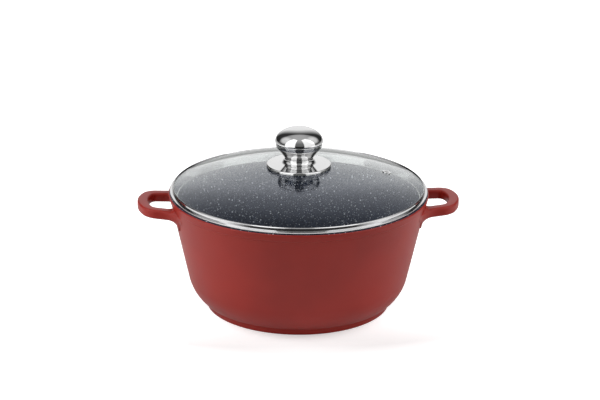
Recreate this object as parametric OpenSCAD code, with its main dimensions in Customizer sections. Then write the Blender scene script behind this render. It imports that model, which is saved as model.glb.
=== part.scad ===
// Cast casserole with a lift-off glass lid. Millimetres, +Z up, origin on the table under the pot's axis,
// handles along X.

/* [Pot] */
// Outer radius of the pot at the rim
rim_r = 141; // [120:0.5:170]
// Height of the rim above the table
pot_h = 127.5; // [90:1:180]
// Outward lean of the wall from upright, degrees
wall_lean = 12.7; // [4:0.1:18]
// Thickness of the wall
wall_t = 3.6; // [2.5:0.1:5]
// Thickness of the floor, foot included
floor_t = 7.2; // [5:0.1:10]
// Outer radius of the curve from wall to foot
heel_r = 45; // [36:1:52]
// How far that curve turns before it meets the foot, degrees from upright
heel_turn = 50; // [40:1:60]
// Inner radius of the curve from wall to floor
hollow_r = 30; // [20:1:36]
// Height of the thicker collar under the rim
collar_h = 8.5; // [5:0.5:14]
// Amount by which the collar stands out from the wall
collar_step = 0.5; // [0.3:0.1:1.2]
// Rounding of the rim's outer edge
rim_round = 1.2; // [0.5:0.1:2]
// Thickness of the non-stick coating
coat_t = 0.3; // [0.2:0.05:0.5]

/* [Foot and induction plate] */
// Height of the foot
foot_h = 8.2; // [4:0.1:9]
// Width of the ledge where the wall steps in to the foot
foot_ledge = 2.8; // [1:0.1:5]
// Inward draft of the foot, degrees
foot_draft = 12; // [2:1:20]
// Rounding of the foot's lower edge
foot_round = 1; // [0.5:0.1:2]
// Width of the ring that the pot stands on
foot_land = 9; // [5:0.5:12]
// Depth of the underside inside that ring
base_recess = 0.6; // [0.3:0.1:1.2]
// Distance from the induction plate's edge out to that ring
plate_margin = 7; // [2:0.5:20]
// Thickness of the induction plate
plate_t = 0.8; // [0.5:0.1:1.5]
// Radius of the plate's holes
plate_hole_r = 2.8; // [1.5:0.1:4]
// Rings of holes round the middle one
plate_rings = 6; // [3:1:7]
// Distance from the outer ring of holes to the plate's edge
plate_edge = 6; // [4:0.5:12]

/* [Handles] */
// Distance that a handle stands out from the rim
handle_reach = 33.3; // [28:0.5:45]
// Width of a handle where it leaves the rim
handle_w = 71.4; // [60:1:90]
// Width of the handle's bar
bar_w = 11.6; // [8:0.1:14]
// Height of the handle's bar
bar_h = 10.2; // [7:0.1:13]
// Rounding of the bar's edges
bar_round = 2.2; // [1:0.1:3]
// Distance from the rim down to the handle's top, at the wall
handle_drop = 9.9; // [8:0.1:20]
// Upward slope of the handle, degrees
handle_rise = 4.4; // [0:0.2:8]
// Inward slope of the handle's arms, degrees
arm_taper = 8.7; // [0:0.1:14]
// Radius of the handle's corners, along the middle of the bar
handle_corner_r = 13; // [9:0.5:18]
// Radius of the handle's bowed end, along the middle of the bar
handle_end_r = 47; // [38:1:70]
// Fillet under the arms, at the wall
root_under_r = 11; // [6:0.5:18]
// Fillet beside the arms, at the wall, on their outer sides
root_outer_r = 28; // [4:1:32]
// Fillet beside the arms, at the wall, in the hole
root_inner_r = 6; // [1:0.5:10]
// Fillet over the arms, at the wall
root_over_r = 3; // [1:0.5:4]

/* [Lid glass] */
// Thickness of the glass
glass_t = 4; // [3:0.5:6]
// Radius of the dome, at the top face
dome_r = 385; // [300:5:600]
// Radius of the hole for the knob
knob_hole_r = 5; // [4.5:0.1:7]

/* [Lid band] */
// Play between the band and the top of the rim
lid_play = 0.3; // [0.2:0.05:0.5]
// Distance from the rim's outer edge in to the bead
lid_inset = 1.7; // [0.5:0.1:3]
// Gap between the flange and the pot's mouth
mouth_gap = 2.85; // [0.5:0.05:4]
// Thickness of the band's sheet
band_t = 0.5; // [0.4:0.05:0.8]
// Width of the lip that lies on the glass
lip_w = 2.6; // [1.5:0.1:4]
// Distance that the bead stands out from the glass
bead_out = 3.3; // [2.8:0.1:4]
// Depth of the flange that drops inside the rim
flange_h = 8.3; // [4:0.1:14]
// Inward lean of the flange, bottom against top
flange_lean = 2.2; // [0:0.1:3]
// Width of the butt seam
seam_w = 0.3; // [0.1:0.05:0.6]
// Direction of the butt seam, degrees from +X
seam_at = -96; // [-180:1:180]

/* [Vent] */
// Distance of the vent from the glass's edge
vent_in = 40; // [20:1:80]
// Direction of the vent, degrees from +X
vent_turn = 4; // [-180:1:180]
// Radius of the vent's opening
vent_r = 1.8; // [1:0.1:3]
// Thickness of the eyelet's tube
eyelet_t = 0.7; // [0.4:0.1:1]
// Width of the eyelet's flange
eyelet_flange = 2.6; // [1.5:0.1:4]
// Thickness of the vent's washer
vent_washer_t = 0.8; // [0.5:0.1:1.5]
// Play of the eyelet in the glass
eyelet_play = 0.4; // [0.3:0.1:1]

/* [Knob] */
// Greatest radius of the knob
knob_r = 25.9; // [20:0.1:32]
// Height of the knob's top above its widest place
cap_h = 15.4; // [10:0.1:25]
// Radius of the cap's turned-in edge
curl_r = 2.1; // [1.5:0.1:4]
// How far that edge turns in, degrees
curl_turn = 45; // [20:5:60]
// Height of the cup's wall under the seam
cup_wall_h = 7; // [4:0.1:12]
// Inward slope of the cup's wall, seam against foot
cup_taper = 2; // [0.5:0.1:4]
// Height of the cone under the cup's wall, with the foot under it
cone_h = 7; // [5:0.1:12]
// Height of the cup's foot
cup_foot_h = 2.2; // [1.8:0.1:3]
// Width of the shoulder where the cup meets the neck
shoulder = 0.3; // [0:0.1:1.2]
// Radius of the neck at its foot
neck_r = 14.6; // [12.5:0.1:17]
// Widening of the neck towards its top
neck_flare = 0.9; // [0:0.1:2]
// Height of the neck's top above the skirt's edge
neck_h = 12.4; // [11:0.1:20]
// Radius of the skirt's edge
skirt_r = 35; // [26:0.5:45]
// Height of the skirt's turned-down edge
skirt_edge_h = 2.6; // [1.8:0.1:3.4]
// Height of the skirt where it turns up into the neck
skirt_rise = 4.6; // [3.6:0.1:6]
// Thickness of the knob's sheet
knob_t = 1; // [0.6:0.1:1.2]
// Gap between the skirt's edge and the glass
skirt_play = 0.3; // [0.1:0.1:0.8]

/* [Screw and gaskets] */
// Radius of the screw
screw_r = 3; // [2:0.5:4]
// Radius of the screw's head
head_r = 6.5; // [5:0.5:9]
// Height of the screw's head
head_h = 3.2; // [2:0.1:5]
// Length of the screw under its head
screw_l = 16; // [13:1:18]
// Radius of the bush below the neck
bush_r = 8; // [7:0.5:10]
// Radius of the bush's spigot, which is riveted over
spigot_r = 5; // [4.5:0.1:6]
// Height of the riveted head
rivet_h = 1.6; // [1:0.1:2.5]
// Thickness of the gaskets' flanges
gasket_t = 1.2; // [0.8:0.1:2]
// Radius of the gaskets
gasket_r = 11; // [9:0.5:14]
// Radius of the steel washer
washer_r = 9; // [8:0.5:12]
// Thickness of the steel washer
washer_t = 1; // [0.6:0.1:1.6]
// Play between the screw and what it passes through
screw_play = 0.3; // [0.1:0.1:0.6]
// Play of the gasket's collar in the glass
collar_play = 0.1; // [0.05:0.05:0.4]
// Play of the screw in the bush's thread
thread_play = 0.05; // [0.02:0.01:0.1]

/* [Hidden] */
$fn = 180;

lacquer_red = "#7a3129";
coating_grey = "#3d4047";
steel = "#c9cacc";
glass_tint = "#dfe6e8";
silicone = "#d9d7d0";

// How far a cut runs past the face that it opens
past = 1;
// Steps round each corner of the handle's section
section_steps = 5;

// ---- Profiles: points are [radius, height] ----

function unit(v) = v / norm(v);
function reversed(list) = [for (i = [len(list) - 1 : -1 : 0]) list[i]];

// Points on a circle from angle a to angle b
function arc(centre, r, a, b, steps = 8) =
    [for (i = [0 : steps]) let (t = a + (b - a) * i / steps) centre + r * [cos(t), sin(t)]];

// The arc that rounds the corner at b between a and c
function corner(a, b, c, r) =
    let (u = unit(a - b), w = unit(c - b), half = acos(u * w) / 2,
         centre = b + unit(u + w) * r / sin(half),
         from = b + u * r / tan(half) - centre, to = b + w * r / tan(half) - centre,
         start = atan2(from[1], from[0]), turn = atan2(to[1], to[0]) - start)
    arc(centre, r, start, start + (turn > 180 ? turn - 360 : turn < -180 ? turn + 360 : turn), 6);

// A line through points, with a radius for each inner point
function bent(points, radii) = concat(
    [points[0]],
    [for (i = [1 : len(points) - 2]) each corner(points[i - 1], points[i], points[i + 1], radii[i - 1])],
    [points[len(points) - 1]]);

// The same line moved sideways by d, to its left where d is positive
function beside(line, d) = [
    for (i = [0 : len(line) - 1])
        let (before = line[max(i, 1)] - line[max(i, 1) - 1],
             after = line[min(i, len(line) - 2) + 1] - line[min(i, len(line) - 2)],
             side = unit([-before[1], before[0]]), next_side = unit([-after[1], after[0]]),
             middle = unit(side + next_side))
        line[i] + middle * d / (middle * side)];

// Sheet metal turned about Z: a bent line with thickness t
module spun_sheet(points, radii, t) {
    line = bent(points, radii);
    rotate_extrude() polygon(concat(beside(line, t / 2), reversed(beside(line, -t / 2))));
}

module spun(points) rotate_extrude() polygon(points);

module ring(outer, inner, h) {
    difference() {
        cylinder(r = outer, h = h);
        translate([0, 0, -past]) cylinder(r = inner, h = h + 2 * past);
    }
}

// Drop of a dome of radius r, at distance d from its axis
function sag(r, d) = r - sqrt(r * r - d * d);

// ---- Pot ----

rim_z = pot_h - coat_t;
collar_z = pot_h - collar_h;
heel_z = foot_h + heel_r * sin(heel_turn);
function wall_at(z) = rim_r - collar_step - (pot_h - z) * tan(wall_lean);
heel_x = wall_at(heel_z) - heel_r / cos(wall_lean);
ledge_r = heel_x + heel_r * cos(heel_turn);
foot_top_r = ledge_r - foot_ledge;
foot_r = foot_top_r - foot_h * tan(foot_draft);
recess_r = foot_r - foot_land;
plate_r = recess_r - plate_margin;
plate_pitch = (plate_r - plate_edge) / plate_rings;
mouth_r = wall_at(pot_h) - (wall_t + coat_t) / cos(wall_lean);

// Line down the hollow, moved inwards by o, from the rim to the axis
function hollow(o, top) =
    let (z = floor_t + hollow_r, in = (wall_t + o) / cos(wall_lean), r = hollow_r - o,
         x = wall_at(z) - wall_t / cos(wall_lean) - hollow_r / cos(wall_lean))
    concat([[wall_at(top) - in, top]], arc([x, z], r, -wall_lean, -90, 16), [[0, floor_t + o]]);

module casting_outside() {
    spun(concat(
        [[0, rim_z], [0, 0]],
        corner([0, 0], [foot_r, 0], [foot_top_r, foot_h], foot_round),
        [[foot_top_r, foot_h]],
        arc([heel_x, heel_z], heel_r, -heel_turn, -wall_lean, 16),
        [[wall_at(collar_z), collar_z], [wall_at(collar_z) + collar_step, collar_z + collar_step]],
        corner([wall_at(collar_z) + collar_step, collar_z], [rim_r, rim_z], [0, rim_z], rim_round)));
}

module induction_disc() {
    difference() {
        translate([0, 0, base_recess]) cylinder(r = plate_r, h = plate_t);
        cylinder(r = plate_hole_r, h = floor_t);
        for (k = [1 : plate_rings], i = [0 : 6 * k - 1])
            rotate(i * 60 / k) translate([k * plate_pitch, 0, 0]) cylinder(r = plate_hole_r, h = floor_t);
    }
}

module pot_body() color(lacquer_red)
    difference() {
        union() {
            casting_outside();
            loop_handle();
            mirror([1, 0, 0]) loop_handle();
        }
        spun(concat([[0, pot_h + past]], hollow(0, pot_h + past)));
        translate([0, 0, -past]) cylinder(r = recess_r, h = base_recess + past);
        induction_disc();
    }

module nonstick_lining() color(coating_grey)
    spun(concat(
        hollow(coat_t, pot_h), reversed(hollow(0, rim_z)),
        [[rim_r - rim_round, rim_z], [rim_r - rim_round, pot_h]]));

module induction_plate() color(steel) induction_disc();

// ---- Handles ----

// Middle line of the bar, seen from above: a tapered arm, a corner and a bowed end
arm_way = [cos(arm_taper), -sin(arm_taper)];
arm_in = [-sin(arm_taper), -cos(arm_taper)];
arm_foot = [rim_r, (handle_w - bar_w) / 2];
end_x = rim_r + handle_reach - bar_w / 2 - handle_end_r;
corner_start = arm_foot + handle_corner_r * arm_in - [end_x, 0];
arm_run = let (b = corner_start * arm_way, k = handle_end_r - handle_corner_r)
    sqrt(b * b - corner_start * corner_start + k * k) - b;
handle_corner = corner_start + arm_run * arm_way;
end_turn = atan2(handle_corner[1], handle_corner[0]);
bar_top = pot_h - handle_drop;

// Point of the arm's middle line at distance r from the pot's axis
function arm_at(r) =
    let (b = arm_foot * arm_way) arm_foot + arm_way * (sqrt(b * b - arm_foot * arm_foot + r * r) - b);

// Rise of a fillet of radius r, at distance d from the wall
function fillet_rise(r, d) = d >= r ? 0 : r - sqrt(r * r - pow(r - max(d, 0), 2));

// Each station is [middle, direction across the bar]
under_wall_r = wall_at(bar_top - bar_h - root_under_r);
// How far the fillets run inwards and outwards from there
root_in = wall_t + root_outer_r / 20;
root_reach = 0.75 * root_outer_r;
arm_stations = concat(
    [for (i = [4 : -1 : 1]) [arm_at(under_wall_r - root_in * i / 4), 90 - arm_taper]],
    [for (i = [0 : 14]) [arm_at(under_wall_r + root_reach * pow(i / 14, 2)), 90 - arm_taper]]);
corner_stations = [for (i = [0 : 7]) let (t = 90 - arm_taper + (end_turn - 90 + arm_taper) * i / 8)
    [[end_x, 0] + handle_corner + handle_corner_r * [cos(t), sin(t)], t]];
end_stations = [for (i = [0 : 3]) let (t = end_turn * (1 - i / 4))
    [[end_x, 0] + handle_end_r * [cos(t), sin(t)], t]];
half_way = concat(arm_stations, corner_stations, end_stations);
stations = concat(
    half_way, [[[end_x + handle_end_r, 0], 0]],
    [for (s = reversed(half_way)) [[s[0][0], -s[0][1]], -s[1]]]);

// Widening of an arm at height z and distance s along it, on its outer side (1) or in the hole (-1)
function root_flare(side, s, z) =
    let (r = side > 0 ? root_outer_r : root_inner_r, w = wall_at(z) + r,
         across = side * (bar_w / 2 + r) - arm_foot * arm_in,
         start = sqrt(w * w - across * across),
         reach = side > 0 ? start * r / w : r)
    r - sqrt(r * r - pow(max(0, min(start - s, reach)), 2));

// Rounded section of the bar at a station, as [across, height]
function bar_section(middle) =
    let (r = norm(middle), s = [middle[0], abs(middle[1])] * arm_way,
         over = fillet_rise(root_over_r, r - wall_at(bar_top)),
         under = fillet_rise(root_under_r, r - under_wall_r))
    [for (c = [[1, 1], [-1, 1], [-1, -1], [1, -1]], i = [0 : section_steps])
        let (t = 90 * (c[0] == c[1] ? i : section_steps - i) / section_steps,
             level = bar_top - bar_h / 2 + c[1] * (bar_h / 2 - bar_round),
             z = level + c[1] * (bar_round * sin(t) + (c[1] > 0 ? over : under) * pow(sin(t), 2)))
        [c[0] * (bar_w / 2 - bar_round * (1 - cos(t)) + root_flare(c[0], s, z) * pow(cos(t), 2)), z]];

module loop_handle() {
    n = 4 * (section_steps + 1);
    last = len(stations) - 1;
    polyhedron(
        points = [for (s = stations, p = bar_section(s[0]))
            let (x = s[0][0] + p[0] * cos(s[1]), y = s[0][1] + p[0] * sin(s[1]))
            [x, y, p[1] + (x - rim_r) * tan(handle_rise)]],
        faces = concat(
            [[for (i = [0 : n - 1]) i]],
            [for (s = [0 : last - 1], i = [0 : n - 1])
                let (j = (i + 1) % n) [s * n + i, (s + 1) * n + i, (s + 1) * n + j, s * n + j]],
            [[for (i = [n - 1 : -1 : 0]) last * n + i]]));
}

// ---- Lid ----

bead_r = rim_r - lid_inset;
glass_r = bead_r - bead_out;
band_seat = pot_h + lid_play + band_t;
inner_r = dome_r - glass_t;
dome_z = band_seat + sag(inner_r, glass_r) + glass_t;
function glass_top(r) = dome_z - sag(dome_r, r);
function glass_under(r) = dome_z - glass_t - sag(inner_r, r);

// Places what it holds on the vent's axis, with z = 0 on the top face of the glass
module at_vent() {
    translate([0, 0, dome_z - dome_r]) rotate([0, 0, vent_turn]) rotate([0, asin(vent_at / dome_r), 0])
        translate([0, 0, dome_r]) children();
}

module lid_glass() color(glass_tint, 0.4)
    difference() {
        intersection() {
            translate([0, 0, dome_z - dome_r]) sphere(r = dome_r);
            cylinder(r = glass_r, h = dome_z + past);
        }
        translate([0, 0, dome_z - dome_r]) sphere(r = inner_r);
        cylinder(r = knob_hole_r, h = dome_z + past);
        at_vent() translate([0, 0, -2 * glass_t]) cylinder(r = vent_hole_r, h = 3 * glass_t);
    }

module lid_band() color(steel)
    difference() {
        flange_r = mouth_r - mouth_gap - band_t / 2;
        seat = band_seat - band_t / 2;
        lip = band_t * 0.6;
        lip_in = glass_r - lip_w;
        lip_out = glass_r + 2 * band_t;
        spun_sheet(
            [[lip_in, glass_top(lip_in) + lip], [lip_out, glass_top(lip_out) + lip],
             [bead_r, glass_top(glass_r) - bead_out / 2], [bead_r - lip, seat], [flange_r, seat],
             [flange_r - flange_lean, seat - flange_h],
             [flange_r - flange_lean - 2 * band_t, seat - flange_h - lip]],
            band_t * [1.6, 2, 2.2, 2, 1.2], band_t);
        rotate(seam_at) translate([glass_r / 2, -seam_w / 2, 0]) cube([glass_r, seam_w, dome_z]);
    }

// ---- Vent ----

vent_at = glass_r - vent_in;
vent_hole_r = vent_r + eyelet_t + eyelet_play;
vent_washer_r = vent_hole_r + eyelet_flange;
vent_seat = sqrt(inner_r * inner_r - vent_washer_r * vent_washer_r) - dome_r;

module vent_eyelet() color(steel)
    at_vent() {
        tube = vent_r + eyelet_t / 2;
        foot = vent_seat - vent_washer_t - eyelet_t / 2;
        bend = eyelet_play + eyelet_t / 2;
        spun_sheet(
            [[tube + eyelet_flange, eyelet_t / 2], [tube, eyelet_t / 2],
             [tube, foot], [tube + eyelet_flange / 2, foot]],
            [bend, eyelet_t], eyelet_t);
    }

module vent_washer() color(steel)
    at_vent() translate([0, 0, vent_seat - vent_washer_t])
        ring(vent_washer_r, vent_hole_r, vent_washer_t);

// ---- Knob ----

skirt_z = glass_top(skirt_r) + skirt_play;
neck_z = skirt_z + neck_h;
seam_z = neck_z + cone_h + cup_wall_h;
seam_r = knob_r - curl_r * (1 - cos(curl_turn));
wide_z = seam_z + curl_r * sin(curl_turn);

// Quarter of an ellipse from its side up to its top, on the knob's axis
function dome(r, h) = [for (t = [0 : 5 : 90]) [r * cos(t), wide_z + h * sin(t)]];

module knob_cap() color(steel)
    spun(concat(
        [[seam_r - 1.5 * knob_t, seam_z]],
        arc([knob_r - curl_r, wide_z], curl_r, -curl_turn, 0, 5), dome(knob_r, cap_h),
        reversed(dome(knob_r - knob_t, cap_h - knob_t))));

module knob_cup() color(steel) {
    side_r = seam_r - knob_t / 2;
    foot_r = neck_r + neck_flare + shoulder;
    spun_sheet(
        [[side_r - 3 * knob_t, seam_z - knob_t / 2], [side_r, seam_z - knob_t / 2],
         [side_r - cup_taper, neck_z + cone_h], [foot_r, neck_z + cup_foot_h],
         [foot_r, neck_z + knob_t / 2], [spigot_r, neck_z + knob_t / 2]],
        knob_t * [0.6, 2.5, 1.8, 0.6], knob_t);
}

module knob_skirt() color(steel)
    spun_sheet(
        [[skirt_r - knob_t / 2, skirt_z], [skirt_r - knob_t / 2, skirt_z + skirt_edge_h],
         [neck_r - knob_t / 2, skirt_z + skirt_rise],
         [neck_r + neck_flare - knob_t / 2, neck_z - knob_t / 2],
         [spigot_r, neck_z - knob_t / 2]],
        knob_t * [1.2, 4, 1.2], knob_t);

// ---- Screw, bush and gaskets ----

gasket_under = glass_under(gasket_r);
head_z = gasket_under - gasket_t - washer_t;
tip_z = head_z + screw_l;
screw_hole_r = screw_r + screw_play;

module knob_bush() color(steel) {
    bore_r = screw_r + thread_play;
    bore_z = tip_z + screw_r / 3;
    rivet_z = neck_z + knob_t;
    top_z = max(rivet_z, bore_z) + rivet_h;
    spun([
        [bore_r, dome_z + gasket_t], [bush_r, dome_z + gasket_t], [bush_r, neck_z - knob_t],
        [spigot_r, neck_z - knob_t], [spigot_r, rivet_z], [spigot_r + rivet_h, rivet_z],
        [spigot_r + rivet_h / 2, top_z], [0, top_z], [0, bore_z], [bore_r, bore_z],
    ]);
}

module upper_gasket() color(silicone)
    difference() {
        collar_l = 0.9 * glass_t;
        union() {
            translate([0, 0, dome_z]) cylinder(r = gasket_r, h = gasket_t);
            translate([0, 0, dome_z - collar_l])
                cylinder(r = knob_hole_r - collar_play, h = collar_l + gasket_t);
        }
        translate([0, 0, dome_z - 2 * glass_t]) cylinder(r = screw_hole_r, h = 4 * glass_t);
    }

module lower_gasket() color(silicone)
    translate([0, 0, gasket_under - gasket_t]) ring(gasket_r, screw_hole_r, gasket_t);

module screw_washer() color(steel)
    translate([0, 0, head_z]) ring(washer_r, screw_hole_r, washer_t);

module knob_screw() color(steel)
    difference() {
        tip = screw_r / 4;
        spun(concat(
            [[0, tip_z], [0, head_z - head_h]],
            corner([0, head_z - head_h], [head_r, head_z - head_h], [head_r, head_z], head_h / 2),
            [[head_r, head_z], [screw_r, head_z], [screw_r, tip_z - tip], [screw_r - tip, tip_z]]));
        slot = [head_r, head_r / 5, head_h / 2 + past];
        for (turn = [0, 90])
            rotate(turn) translate([-slot[0] / 2, -slot[1] / 2, head_z - head_h - past]) cube(slot);
    }

pot_body();
nonstick_lining();
induction_plate();
lid_glass();
lid_band();
vent_eyelet();
vent_washer();
knob_cap();
knob_cup();
knob_skirt();
knob_bush();
upper_gasket();
lower_gasket();
screw_washer();
knob_screw();
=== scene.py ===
import math

import bmesh
import bpy
from mathutils import Matrix, Vector


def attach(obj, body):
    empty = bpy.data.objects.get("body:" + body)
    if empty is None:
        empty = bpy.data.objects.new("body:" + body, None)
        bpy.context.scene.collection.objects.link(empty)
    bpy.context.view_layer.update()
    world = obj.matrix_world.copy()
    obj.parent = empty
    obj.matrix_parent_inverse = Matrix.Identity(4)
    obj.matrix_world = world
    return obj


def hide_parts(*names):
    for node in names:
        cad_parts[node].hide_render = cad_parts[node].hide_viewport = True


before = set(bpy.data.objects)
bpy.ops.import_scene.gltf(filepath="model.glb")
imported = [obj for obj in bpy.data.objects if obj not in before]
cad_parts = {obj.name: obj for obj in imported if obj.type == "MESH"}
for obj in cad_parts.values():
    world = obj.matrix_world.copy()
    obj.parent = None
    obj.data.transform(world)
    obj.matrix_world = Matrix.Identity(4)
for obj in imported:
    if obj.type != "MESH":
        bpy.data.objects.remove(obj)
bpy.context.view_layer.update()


# ---- Pot ----
# One aluminium die casting, the two loop handles included. It is sprayed outside with a heat-proof red
# lacquer and stoved, so it has a satin gloss with a very slight orange peel. The casting's own flow
# leaves the tone a little uneven.

def linear(hex_colour):
    """An sRGB hex colour as linear RGBA."""
    parts = [int(hex_colour[i:i + 2], 16) / 255 for i in (1, 3, 5)]
    return tuple(c / 12.92 if c <= 0.04045 else ((c + 0.055) / 1.055) ** 2.4 for c in parts) + (1.0,)


def add(tree, kind, inputs={}, stops=(), **settings):
    """Adds a node with its settings. An input goes by its identifier and takes a value, a socket or a
    node, which gives its first live output. A ramp takes its stops as (place, colour)."""
    node = tree.nodes.new("ShaderNode" + kind)
    for name, value in settings.items():
        setattr(node, name, value)
    for name, value in inputs.items():
        socket = next(s for s in node.inputs if s.identifier == name)
        if isinstance(value, bpy.types.Node):
            value = next(s for s in value.outputs if s.enabled)
        if isinstance(value, bpy.types.NodeSocket):
            tree.links.new(value, socket)
        else:
            socket.default_value = value
    for i, (place, colour) in enumerate(stops):
        element = node.color_ramp.elements[i] if i < 2 else node.color_ramp.elements.new(place)
        element.position, element.color = place, colour
    return node


def new_material(name):
    """A material with an empty node tree."""
    material = bpy.data.materials.new(name)
    material.use_nodes = True
    material.node_tree.nodes.clear()
    return material, material.node_tree


def shade(bm, sharp):
    """Shades smooth, apart from the edges that turn by more degrees than sharp."""
    for face in bm.faces:
        face.smooth = True
    for edge in bm.edges:
        edge.smooth = len(edge.link_faces) == 2 and edge.calc_face_angle() < math.radians(sharp)


def smooth_copy(node, name, sharp):
    """A bare copy of a CAD node that stands in for it, with its doubles merged and shaded smooth."""
    piece = bpy.data.objects.new(name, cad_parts[node].data.copy())
    bpy.context.scene.collection.objects.link(piece)
    bm = bmesh.new()
    bm.from_mesh(piece.data)
    bmesh.ops.remove_doubles(bm, verts=bm.verts, dist=2e-6)
    shade(bm, sharp)
    bm.to_mesh(piece.data)
    bm.free()
    if "custom_normal" in piece.data.attributes:
        piece.data.attributes.remove(piece.data.attributes["custom_normal"])
    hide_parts(node)
    piece.data.materials.clear()
    return piece


tone_mm, peel_mm = 70, 1.6
lacquer, tree = new_material("red_heatproof_lacquer")
where = add(tree, "TexCoord").outputs["Object"]
tone = add(tree, "TexNoise", {"Vector": where, "Scale": 1000 / tone_mm, "Detail": 2.0})
colour = add(tree, "ValToRGB", {"Fac": tone}, [(0.35, linear("#801d15")), (0.65, linear("#8a2118"))])
peel = add(tree, "TexNoise", {"Vector": where, "Scale": 1000 / peel_mm, "Detail": 2.0})
bump = add(tree, "Bump", {"Height": peel, "Strength": 0.12, "Distance": 0.0002})
shader = add(tree, "BsdfPrincipled", {"Base Color": colour, "Roughness": 0.4, "IOR": 1.37, "Normal": bump})
add(tree, "OutputMaterial", {"Surface": shader})

pot = smooth_copy("pot_body", "pot_casting", sharp=28)
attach(pot, "pot")
pot.data.materials.append(lacquer)


# ---- Non-stick coating ----
# Sprayed and baked stone-look coating over the whole inside and the top of the rim: a dark blue-grey
# ground with fine pale flakes in it, satin and slightly grainy.

def flakes(spacing, size, share):
    """Round flakes of a size, in a share of the cells of a spacing, both in mm. Some are fainter."""
    cells = add(tree, "TexVoronoi", {"Vector": where, "Scale": 1000 / spacing}, feature="F1")
    radius = 0.5 * size / spacing
    round_flake = add(tree, "MapRange", {
        "Value": cells.outputs["Distance"], "From Min": radius, "From Max": 0.5 * radius})
    chance = add(tree, "SeparateColor", {"Color": cells.outputs["Color"]})
    strength = add(tree, "MapRange", {"Value": chance, "From Min": 1 - share, "From Max": 1 - 0.4 * share})
    return add(tree, "Math", {"Value": round_flake, "Value_001": strength}, operation="MULTIPLY")


def dress(node, material):
    """Gives a CAD node its finish."""
    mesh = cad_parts[node].data
    mesh.materials.clear()
    mesh.materials.append(material)


grain_mm, cloud_mm = 0.9, 30
coating, tree = new_material("stone_look_nonstick")
where = add(tree, "TexCoord").outputs["Object"]
grain = add(tree, "TexNoise", {"Vector": where, "Scale": 1000 / grain_mm, "Detail": 3.0})
ground = add(tree, "ValToRGB", {"Fac": grain}, [(0.3, linear("#151b2a")), (0.7, linear("#252e43"))])
# The real flakes are 0.3 to 1 mm wide. They are drawn about half as wide again, so that they show.
large = flakes(spacing=4.0, size=2.0, share=0.8)
small = flakes(spacing=2.0, size=1.2, share=0.9)
clouds = add(tree, "TexNoise", {"Vector": where, "Scale": 1000 / cloud_mm, "Detail": 3.0})
thinned = add(tree, "MapRange", {
    "Value": clouds, "From Min": 0.35, "From Max": 0.65, "To Min": 0.35, "To Max": 0.8})
small = add(tree, "Math", {"Value": small, "Value_001": thinned}, operation="MULTIPLY")
all_flakes = add(tree, "Math", {"Value": large, "Value_001": small}, operation="MAXIMUM")
colour = add(tree, "Mix", {
    "Factor_Float": all_flakes, "A_Color": ground, "B_Color": linear("#f2f4ff")}, data_type="RGBA")
bump = add(tree, "Bump", {"Height": grain, "Strength": 0.2, "Distance": 0.0002})
shader = add(tree, "BsdfPrincipled", {"Base Color": colour, "Roughness": 0.45, "Normal": bump})
add(tree, "OutputMaterial", {"Surface": shader})
dress("nonstick_lining", coating)


# ---- Induction plate ----
# A disc of ferritic stainless steel with punched holes, pressed into the base while the casting is
# still soft, so that aluminium fills the holes. The base is then turned flat, which leaves fine rings.

def steel(name, colour, roughness, lay_mm=None):
    """Steel, bright or dull by its roughness, with turned rings round Z where lay_mm gives their spacing."""
    material, tree = new_material(name)
    inputs = {"Base Color": linear(colour), "Metallic": 1.0, "Roughness": roughness}
    if lay_mm:
        where = add(tree, "TexCoord").outputs["Object"]
        flat = add(tree, "VectorMath", {"Vector": where, "Vector_001": (1.0, 1.0, 0.0)}, operation="MULTIPLY")
        radius = add(tree, "VectorMath", {"Vector": flat}, operation="LENGTH")
        rings = add(tree, "TexNoise", {"W": radius, "Scale": 1000 / lay_mm, "Detail": 2.0},
                    noise_dimensions="1D")
        inputs["Normal"] = add(tree, "Bump", {"Height": rings, "Strength": 0.3, "Distance": 0.00005})
    shader = add(tree, "BsdfPrincipled", inputs)
    add(tree, "OutputMaterial", {"Surface": shader})
    return material


# The real rings lie about 0.2 mm apart. They are drawn coarser, so that they show.
dress("induction_plate", steel("turned_ferritic_stainless", "#a9a8a4", 0.35, lay_mm=0.6))


# ---- Lid glass ----
# A disc of 4 mm soda-lime glass, slumped to a shallow dome and tempered, with ground edges. It is clear,
# with the slight green that iron gives it, and mirrors the room a little cooler than it is.

glass, tree = new_material("tempered_soda_lime_glass")
shader = add(tree, "BsdfPrincipled", {
    "Base Color": linear("#f6faf9"), "Roughness": 0.0, "IOR": 1.52, "Transmission Weight": 1.0,
    "Specular Tint": linear("#d5e0ff")})
add(tree, "OutputMaterial", {"Surface": shader})
dress("lid_glass", glass)
# Clear glass hardly dims the light that falls through it, so it casts no shadow.
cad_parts["lid_glass"].visible_shadow = False


# ---- Lid band ----
# Bright stainless strip, rolled to a G section round the glass and butted at the front. Its raised lip
# lies on the glass, a step leads down to the bead, and a flange drops inside the rim of the pot.

def settle(bm):
    """Puts the faces in one fixed order, which spin and solidify leave to chance."""
    bm.verts.index_update()
    count = len(bm.verts)

    def place(face):
        first, second, third = sorted(corner.index for corner in face.verts)[:3]
        return (first * count + second) * count + third

    bm.faces.sort(key=place)


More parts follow.
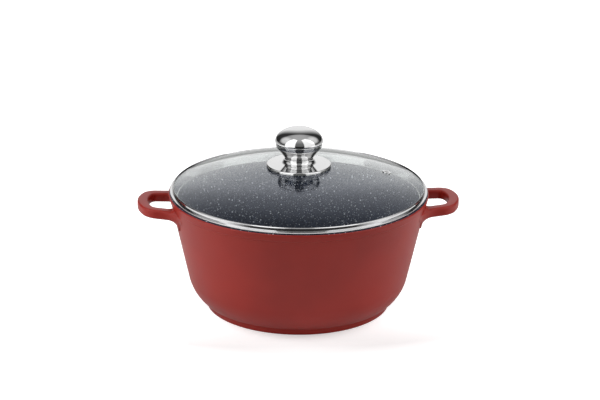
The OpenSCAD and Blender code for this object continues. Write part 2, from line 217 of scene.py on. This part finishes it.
def turned_sheet(name, outside, thickness, start=0.0, turn=math.tau):
    """Sheet of a thickness, turned about Z. The line of its outer face is a list of corners, each a
    radius, a height and the radius of the bend there, all in mm."""
    bm = bmesh.new()
    corners = [bm.verts.new((radius / 1000, 0, height / 1000)) for radius, height, bend in outside]
    for ends in zip(corners, corners[1:]):
        bm.edges.new(ends)
    for corner, (radius, height, bend) in list(zip(corners, outside))[1:-1]:
        one, other = (edge.other_vert(corner).co - corner.co for edge in corner.link_edges)
        bmesh.ops.bevel(bm, geom=[corner], offset=bend / 1000 / math.tan(one.angle(other) / 2),
                        offset_type="OFFSET", segments=8, profile=0.5, affect="VERTICES", material=-1)
    bmesh.ops.rotate(bm, cent=(0, 0, 0), matrix=Matrix.Rotation(start, 3, "Z"), verts=bm.verts)
    bmesh.ops.spin(bm, geom=bm.verts[:] + bm.edges[:], axis=(0, 0, 1), cent=(0, 0, 0), dvec=(0, 0, 0),
                   angle=turn, steps=240, use_merge=turn == math.tau)
    settle(bm)
    bmesh.ops.recalc_face_normals(bm, faces=bm.faces[:])
    bmesh.ops.solidify(bm, geom=bm.faces[:], thickness=thickness / 1000)
    settle(bm)
    shade(bm, sharp=40)
    piece = bpy.data.objects.new(name, bpy.data.meshes.new(name))
    bpy.context.scene.collection.objects.link(piece)
    bm.to_mesh(piece.data)
    bm.free()
    flats = piece.modifiers.new("flats", "WEIGHTED_NORMAL")
    flats.keep_sharp = True
    return piece


# Bright metal shows every facet, so the band and two of the knob's shells are turned anew from their
# own outlines, with finer bends than the solids have.
seam_mm, bead_radius_mm = 0.3, 139
seam, seam_azimuth = seam_mm / bead_radius_mm, math.radians(-96)
band = turned_sheet("rolled_band", [
    (134.9, 133.1, 0), (135.4, 134.0, 0.3), (136.4, 133.1, 0.3), (136.5, 130.1, 0.2), (139.3, 129.8, 0.4),
    (138.9, 128.2, 0.6), (133.65, 127.8, 1.0), (131.45, 119.75, 1.1), (130.3, 119.45, 0)],
    thickness=0.5, start=seam_azimuth + seam / 2, turn=math.tau - seam)
band_steel = steel("bright_rolled_stainless", "#d4d4d5", 0.1)
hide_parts("lid_band")
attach(band, "lid")
band.data.materials.append(band_steel)


# ---- Vent ----
# A drawn stainless eyelet, as bright as the band. It is pushed down through a hole in the glass and
# rolled over on a thin washer, and lets the steam out.

dress("vent_eyelet", band_steel)
dress("vent_washer", band_steel)


# ---- Knob ----
# Three deep-drawn stainless shells, polished to a mirror: a domed cap, a cup below it that narrows to
# the waist, and a skirt that spreads over the glass. A bush is riveted through cup and skirt.

knob_steel = steel("polished_stainless", "#dcdcdc", 0.06)
cap = smooth_copy("knob_cap", "knob_cap_shell", sharp=35)
cup = turned_sheet("knob_cup_shell", [
    (22.0, 182.5, 0), (25.285, 182.5, 0.5), (24.7, 178.2, 3.5), (15.5, 166.3, 1.0), (5.0, 166.3, 0)],
    thickness=1.0)
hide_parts("knob_cup")
skirt = turned_sheet("knob_skirt_shell", [
    (35.0, 156.12, 0), (35.0, 158.9, 1.5), (14.4, 161.0, 5.5), (15.4, 166.28, 0.3), (5.0, 166.28, 0)],
    thickness=1.0)
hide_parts("knob_skirt")
for piece in (cap, cup, skirt):
    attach(piece, "lid")
    piece.data.materials.append(knob_steel)


# ---- Bush, screw, washer and gaskets ----
# The screw comes up through the glass into the knob's bush and clamps them, with a washer under its
# head. All three are turned or pressed steel with dull grey zinc plating. A moulded gasket of pale
# silicone lies on either face of the glass.

zinc = steel("zinc_plated_steel", "#b9babd", 0.3)
for node in ("knob_bush", "screw_washer", "knob_screw"):
    dress(node, zinc)

silicone, tree = new_material("pale_silicone")
shader = add(tree, "BsdfPrincipled", {
    "Base Color": linear("#d9d7d0"), "Roughness": 0.5, "Subsurface Weight": 0.2, "Subsurface Scale": 0.002})
add(tree, "OutputMaterial", {"Surface": shader})
for node in ("upper_gasket", "lower_gasket"):
    dress(node, silicone)


# ---- Studio room ----
# A dark room that is paler overhead, with a white wall behind the pot and a white board high on either
# side, all with soft edges. It is plain white where the camera sees it directly.

def seen_directly(tree):
    """1 for what the camera sees, past the pot or through clear glass, and 0 for what other light meets."""
    path = add(tree, "LightPath")
    clear = add(tree, "Math", {"Value": path.outputs["Is Camera Ray"],
                               "Value_001": path.outputs["Is Transmission Ray"]}, operation="MAXIMUM")
    bounces = add(tree, "Math", {"Value": path.outputs["Diffuse Depth"],
                                 "Value_001": path.outputs["Glossy Depth"]})
    return add(tree, "Math", {"Value": clear, "Value_001": bounces}, operation="SUBTRACT", use_clamp=True)


def grey(level):
    """A level of white light, or of the paper's whiteness, from 0 to 1 as linear RGBA."""
    return (level, level, level, 1.0)


world = bpy.data.worlds.new("studio")
bpy.context.scene.world = world
world.use_nodes = True
tree = world.node_tree
tree.nodes.clear()
direction = add(tree, "TexCoord").outputs["Generated"]
axes = add(tree, "SeparateXYZ", {"Vector": direction})
back_of_room = add(tree, "ValToRGB", {"Fac": axes.outputs["Z"]}, [
    (0.0, grey(0.02)), (0.2, grey(0.03)), (1.0, grey(0.05))])
overhead = add(tree, "ValToRGB", {"Fac": axes.outputs["Z"]}, [
    (0.0, grey(0.02)), (0.12, grey(0.14)), (0.6, grey(0.2)), (0.85, grey(0.38)), (0.97, grey(0.5))])
before_wall = add(tree, "MapRange", {"Value": axes.outputs["Y"], "From Min": 0.44, "From Max": 0.36})
room = add(tree, "Mix", {
    "Factor_Float": before_wall, "A_Color": back_of_room, "B_Color": overhead}, data_type="RGBA")

wall_middle, wall_narrowing, board_middle = (0.06, 0.964, 0.258), (1.8, 1.0, 1.0), (0.79, 0.0, 0.61)
narrowed = add(tree, "VectorMath", {"Vector": direction, "Vector_001": wall_narrowing}, operation="MULTIPLY")
narrowed = add(tree, "VectorMath", {"Vector": narrowed}, operation="NORMALIZE")
wall = add(tree, "VectorMath", {"Vector": narrowed, "Vector_001": wall_middle}, operation="DOT_PRODUCT")
wall = add(tree, "ValToRGB", {"Fac": wall}, [
    (0.66, grey(0.0)), (0.74, grey(0.17)), (0.87, grey(0.65)), (0.925, grey(1.0))])
either_side = add(tree, "VectorMath", {"Vector": direction}, operation="ABSOLUTE")
board = add(tree, "VectorMath", {"Vector": either_side, "Vector_001": board_middle}, operation="DOT_PRODUCT")
board = add(tree, "ValToRGB", {"Fac": board}, [(0.86, grey(0.0)), (0.97, grey(0.6))])
for white in (wall, board):
    room = add(tree, "Mix", {"Factor_Float": 1.0, "A_Color": room, "B_Color": white},
               data_type="RGBA", blend_type="ADD")

# The glass casts no shadow, so light that also came in through it would count twice.
path = add(tree, "LightPath")
in_and_out = add(tree, "Math", {"Value": path.outputs["Transmission Depth"], "Value_001": 3.0},
                 operation="GREATER_THAN")
twice = add(tree, "Math", {"Value": in_and_out, "Value_001": path.outputs["Diffuse Depth"]},
            operation="MINIMUM")
room = add(tree, "Mix", {"Factor_Float": twice, "A_Color": room, "B_Color": grey(0.0)}, data_type="RGBA")
room = add(tree, "Mix", {"Factor_Float": seen_directly(tree), "A_Color": room, "B_Color": grey(1.0)},
           data_type="RGBA")
add(tree, "OutputWorld", {"Surface": add(tree, "Background", {"Color": room, "Strength": 1.0})})


# ---- Studio floor ----
# A wide sheet of matt white paper that the pot stands on. It shows the pot's shadow, and where the camera
# sees it directly it glows up to plain white away from the pot. The glow is weaker close to the pot, most of
# all in front, so the paper stays greyer there: painted shade around the real shadow.

floor_half = 6.0
floor = bpy.data.objects.new("floor", bpy.data.meshes.new("floor"))
bpy.context.scene.collection.objects.link(floor)
bm = bmesh.new()
bmesh.ops.create_grid(bm, x_segments=1, y_segments=1, size=floor_half)
bm.to_mesh(floor.data)
bm.free()

paper, tree = new_material("white_paper")
where = add(tree, "TexCoord").outputs["Object"]
distance = add(tree, "VectorMath", {"Vector": where}, operation="LENGTH")
# For the light that meets the pot, the paper is white close to it. Further out it is dark, though only
# in front, between the softboxes.
close = add(tree, "MapRange", {
    "Value": distance, "From Min": 0.27, "From Max": 0.4, "To Min": 0.8, "To Max": 0.03})
bearing = add(tree, "VectorMath", {"Vector": where}, operation="NORMALIZE")
bearing = add(tree, "SeparateXYZ", {"Vector": bearing})
aside = add(tree, "MapRange", {
    "Value": bearing.outputs["Y"], "From Min": -0.75, "From Max": -0.45, "To Max": 0.8})
whiteness = add(tree, "Math", {"Value": close, "Value_001": aside}, operation="MAXIMUM")
plain = add(tree, "BsdfDiffuse", {"Color": whiteness})
# For the camera it glows towards white away from the pot, sooner behind and beside it than in front. Where
# the glow is weak, close to the pot and in front, the grey is painted shade added to the real shadow.
away = add(tree, "MapRange", {
    "Value": distance, "From Min": 0.15, "From Max": 0.35, "To Min": 0.18, "To Max": 0.8})
spot = add(tree, "SeparateXYZ", {"Vector": where})
behind = add(tree, "MapRange", {
    "Value": spot.outputs["Y"], "From Min": -0.13, "From Max": -0.05, "To Min": 0.18, "To Max": 0.7})
# The glow's shortfall near the pot and in front is painted shade.
glow_and_painted_shade = add(tree, "Math", {"Value": away, "Value_001": behind}, operation="MAXIMUM")
bright = add(tree, "AddShader", {
    "Shader": add(tree, "BsdfDiffuse", {"Color": grey(0.75)}),
    "Shader_001": add(tree, "Emission", {"Color": grey(1.0), "Strength": glow_and_painted_shade})})
shader = add(tree, "MixShader", {"Fac": seen_directly(tree), "Shader": plain, "Shader_001": bright})
add(tree, "OutputMaterial", {"Surface": shader})
floor.data.materials.append(paper)


# ---- Softboxes ----
# Two tall softboxes stand left and right in front of the pot. Each has a brighter strip beside it,
# further round, which is kept out of the metal's reflections.

softbox_distance, softbox_height = 0.9, 3.2
for name, azimuth, width, level, mirrored in (
        ("left_softbox", -47, 0.84, 1.3, True), ("left_strip", -86, 0.45, 3.7, False),
        ("right_softbox", 50, 0.95, 1.0, True), ("right_strip", 86, 0.45, 2.6, False)):
    lamp = bpy.data.lights.new(name, "AREA")
    lamp.shape, lamp.size, lamp.size_y = "RECTANGLE", width, softbox_height
    # The power goes with the area, so that the level says how bright the face is.
    lamp.energy = level * math.pi * width * softbox_height
    turn = math.radians(azimuth)
    holder = bpy.data.objects.new(name, lamp)
    holder.location = (softbox_distance * math.sin(turn), -softbox_distance * math.cos(turn),
                       softbox_height / 2)
    holder.rotation_euler = (math.pi / 2, 0, turn)
    holder.visible_camera = False
    holder.visible_transmission = mirrored
    holder.visible_glossy = mirrored
    bpy.context.scene.collection.objects.link(holder)


# ---- Camera ----
# A long lens in front of the pot, a little to its left and 20 degrees above the floor. The last turns,
# all of about a degree or less, set where the pot stands in the view.

target = Vector((0, 0, 0.0615))
azimuth, elevation, camera_distance = math.radians(-3.2), math.radians(20.44), 2.6
tilt, pan, roll = math.radians(1.1525), math.radians(-0.034), math.radians(0.45)
camera = bpy.data.objects.new("camera", bpy.data.cameras.new("camera"))
bpy.context.scene.collection.objects.link(camera)
bpy.context.scene.camera = camera
camera.data.sensor_width = 36
camera.data.lens = 142.9
back = Vector((math.sin(azimuth) * math.cos(elevation), -math.cos(azimuth) * math.cos(elevation),
               math.sin(elevation)))
look = (-back).to_track_quat("-Z", "Y").to_matrix()
aim = look @ (Matrix.Rotation(tilt, 3, "X") @ Matrix.Rotation(pan, 3, "Y")) @ Matrix.Rotation(roll, 3, "Z")
camera.matrix_world = Matrix.Translation(target + camera_distance * back) @ aim.to_4x4()

bpy.context.scene.view_settings.view_transform = "Standard"
